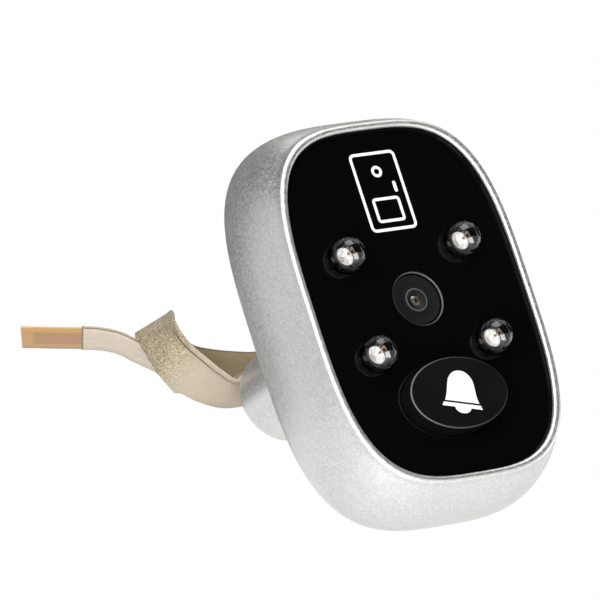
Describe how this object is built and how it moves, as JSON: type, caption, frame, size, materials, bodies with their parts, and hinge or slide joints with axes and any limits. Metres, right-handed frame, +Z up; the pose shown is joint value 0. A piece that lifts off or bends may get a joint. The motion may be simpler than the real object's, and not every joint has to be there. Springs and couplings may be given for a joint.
{
  "type": "peephole door camera",
  "caption": "Outdoor unit of a peephole door camera: rounded silver case, black panel with lens, infrared lights and a bell button, and a rear spigot for the door bore with a ribbon cable.",
  "frame": {"origin": "on the spigot's axis, in the door plane that the rear pad rests on", "axes": "+Y along the spigot, into the door; the panel faces -Y; +Z up"},
  "size_m": [0.0449, 0.0792, 0.0618],
  "materials": {
    "case_silver": "silver metallic paint with fine flake on moulded plastic",
    "gloss_black": "polished black acrylic",
    "satin_black": "satin moulded black plastic",
    "bell_white": "white printed sign",
    "clear_epoxy": "clear cast epoxy",
    "lead_tin": "bright tinned steel strip",
    "lens_black": "black anodised turned metal",
    "lens_glass": "coated lens glass",
    "filter_glass": "coated filter glass",
    "screw_steel": "zinc-plated steel",
    "insert_brass": "turned brass",
    "seal_rubber": "moulded black rubber",
    "pad_foam": "black foam rubber",
    "tape_white": "double-sided foam tape",
    "board_green": "green solder mask on glass-fibre board",
    "chip_black": "moulded black epoxy",
    "can_steel": "stamped bright steel",
    "capacitor_tan": "fired tan ceramic",
    "socket_ivory": "ivory moulded nylon",
    "ribbon_beige": "beige woven cover over a flat cable",
    "tail_amber": "amber polyimide film",
    "contact_gold": "gold-plated copper"
  },
  "bodies": {
    "case": {"front_housing": "case_silver", "rear_cover": "case_silver", "housing_seal": "seal_rubber", "mounting_pad": "pad_foam", "cover_screws": "screw_steel", "spigot": "case_silver", "spigot_screws": "screw_steel", "spigot_inserts": "insert_brass", "ribbon_seal": "seal_rubber", "front_panel": "gloss_black", "panel_adhesive": "tape_white", "inner_frame": "satin_black", "lens_barrel": "lens_black", "front_lens": "lens_glass", "lens_spacer": "lens_black", "rear_lens": "lens_glass", "lens_retainer": "lens_black", "ir_filter": "filter_glass", "lens_holder": "satin_black", "holder_screws": "screw_steel", "image_sensor": "chip_black", "ir_led_1": "clear_epoxy", "ir_led_2": "clear_epoxy", "ir_led_3": "clear_epoxy", "ir_led_4": "clear_epoxy", "led_frame_1": "lead_tin", "led_frame_2": "lead_tin", "led_frame_3": "lead_tin", "led_frame_4": "lead_tin", "led_spacer_1": "satin_black", "led_spacer_2": "satin_black", "led_spacer_3": "satin_black", "led_spacer_4": "satin_black", "main_board": "board_green", "board_screws": "screw_steel", "video_chip": "chip_black", "memory_chip": "chip_black", "crystal": "can_steel", "regulator": "chip_black", "capacitors": "capacitor_tan", "resistors": "chip_black", "ribbon_socket": "socket_ivory", "switch_body": "satin_black", "switch_cover": "can_steel", "switch_dome": "can_steel", "ribbon_inside": "ribbon_beige", "ribbon_cable": "ribbon_beige", "ribbon_tail": "tail_amber", "ribbon_contacts": "contact_gold"},
    "button": {"bell_button": "satin_black", "bell_symbol": "bell_white", "switch_plunger": "satin_black"}
  },
  "joints": [
    {"name": "button_press", "type": "slide", "parent": "case", "child": "button", "axis": [0, 1, 0], "range_m": [0, 0.0005], "stiffness_N_per_m": 4000, "deforming": ["switch_dome"]}
  ]
}
